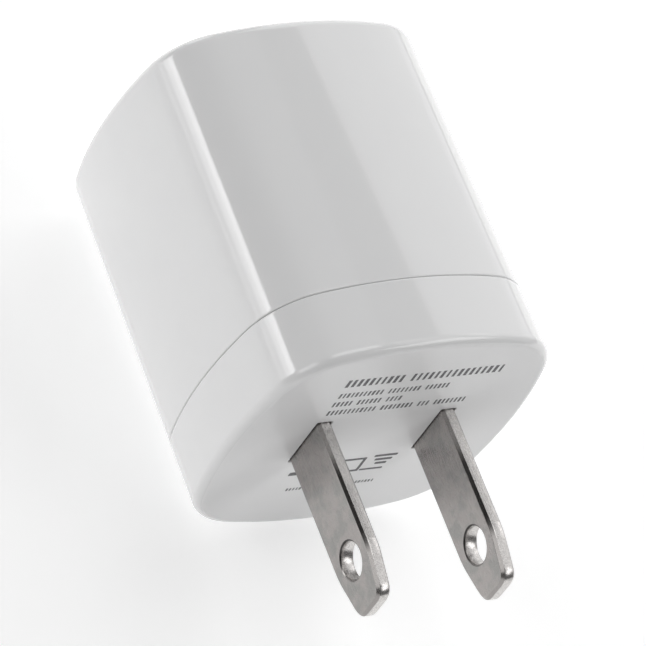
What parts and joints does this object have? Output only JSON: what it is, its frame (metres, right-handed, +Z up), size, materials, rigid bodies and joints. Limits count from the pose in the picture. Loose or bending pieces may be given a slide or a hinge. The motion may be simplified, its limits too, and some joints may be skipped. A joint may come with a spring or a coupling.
{
  "type": "usb wall charger",
  "caption": "Small white wall charger with two fixed flat mains blades, a case and cap joined at a seam, and a USB-A port in the end opposite the blades.",
  "frame": {"origin": "centre of the flat plug face that meets the wall, midway between the two blades", "axes": "+Y into the wall along the blades, +Z up as the charger hangs in an outlet, +X from the right blade to the left blade as seen by someone facing the blades; the USB port faces -Y"},
  "size_m": [0.03, 0.0512, 0.0296],
  "materials": {
    "white_plastic": "glossy white moulding",
    "nickel_plate": "nickel-plated, lightly brushed",
    "bright_tin": "tin-plated sheet",
    "contact_gold": "gold-flashed",
    "black_moulding": "matt black moulding",
    "chip_resistor": "black glaze with tinned ends",
    "board_green": "solder mask over glass laminate",
    "capacitor_black": "shrunk sleeve on an aluminium can",
    "capacitor_green": "shrunk sleeve on an aluminium can",
    "ferrite": "sintered, dull",
    "copper_wire": "enamelled copper",
    "yellow_tape": "polyester tape",
    "blue_ceramic": "dipped ceramic disc",
    "tan_ceramic": "ceramic",
    "green_ceramic": "lacquered ceramic",
    "red_jacket": "soft wire jacket",
    "blue_jacket": "soft wire jacket"
  },
  "bodies": {
    "charger": {"base_cap": "white_plastic", "blade_left": "nickel_plate", "blade_right": "nickel_plate", "bleeder_resistor": "tan_ceramic", "bridge_rectifier": "black_moulding", "ceramic_capacitor_1": "tan_ceramic", "ceramic_capacitor_2": "tan_ceramic", "ceramic_capacitor_3": "tan_ceramic", "controller_ic": "black_moulding", "filter_choke_core": "ferrite", "filter_choke_winding": "copper_wire", "fuse_resistor": "green_ceramic", "input_capacitor_1": "capacitor_black", "input_capacitor_2": "capacitor_black", "live_lead": "red_jacket", "main_board": "board_green", "main_case": "white_plastic", "neutral_lead": "blue_jacket", "optocoupler": "black_moulding", "output_capacitor": "capacitor_green", "output_diode": "black_moulding", "resistor_1": "chip_resistor", "resistor_2": "chip_resistor", "resistor_3": "chip_resistor", "resistor_4": "chip_resistor", "resistor_5": "chip_resistor", "resistor_6": "chip_resistor", "snubber_diode": "black_moulding", "transformer_bobbin": "black_moulding", "transformer_core_lower": "ferrite", "transformer_core_upper": "ferrite", "transformer_tape": "yellow_tape", "transformer_winding": "yellow_tape", "usb_contact_1": "contact_gold", "usb_contact_2": "contact_gold", "usb_contact_3": "contact_gold", "usb_contact_4": "contact_gold", "usb_insulator": "black_moulding", "usb_shell": "bright_tin", "y_capacitor": "blue_ceramic"},
    "contact_1": {"usb_contact_spring_1": "contact_gold"},
    "contact_2": {"usb_contact_spring_2": "contact_gold"},
    "contact_3": {"usb_contact_spring_3": "contact_gold"},
    "contact_4": {"usb_contact_spring_4": "contact_gold"}
  },
  "joints": [
    {"name": "contact_1_flex", "type": "hinge", "parent": "charger", "child": "contact_1", "pos_m": [-0.0035, -0.0247, -0.00012], "axis": [-1, 0, 0], "range_deg": [0, 4], "stiffness_Nm_per_rad": 0.08},
    {"name": "contact_2_flex", "type": "hinge", "parent": "charger", "child": "contact_2", "pos_m": [-0.001, -0.0247, -0.00012], "axis": [-1, 0, 0], "range_deg": [0, 4], "stiffness_Nm_per_rad": 0.08},
    {"name": "contact_3_flex", "type": "hinge", "parent": "charger", "child": "contact_3", "pos_m": [0.001, -0.0247, -0.00012], "axis": [-1, 0, 0], "range_deg": [0, 4], "stiffness_Nm_per_rad": 0.08},
    {"name": "contact_4_flex", "type": "hinge", "parent": "charger", "child": "contact_4", "pos_m": [0.0035, -0.0247, -0.00012], "axis": [-1, 0, 0], "range_deg": [0, 4], "stiffness_Nm_per_rad": 0.08}
  ]
}
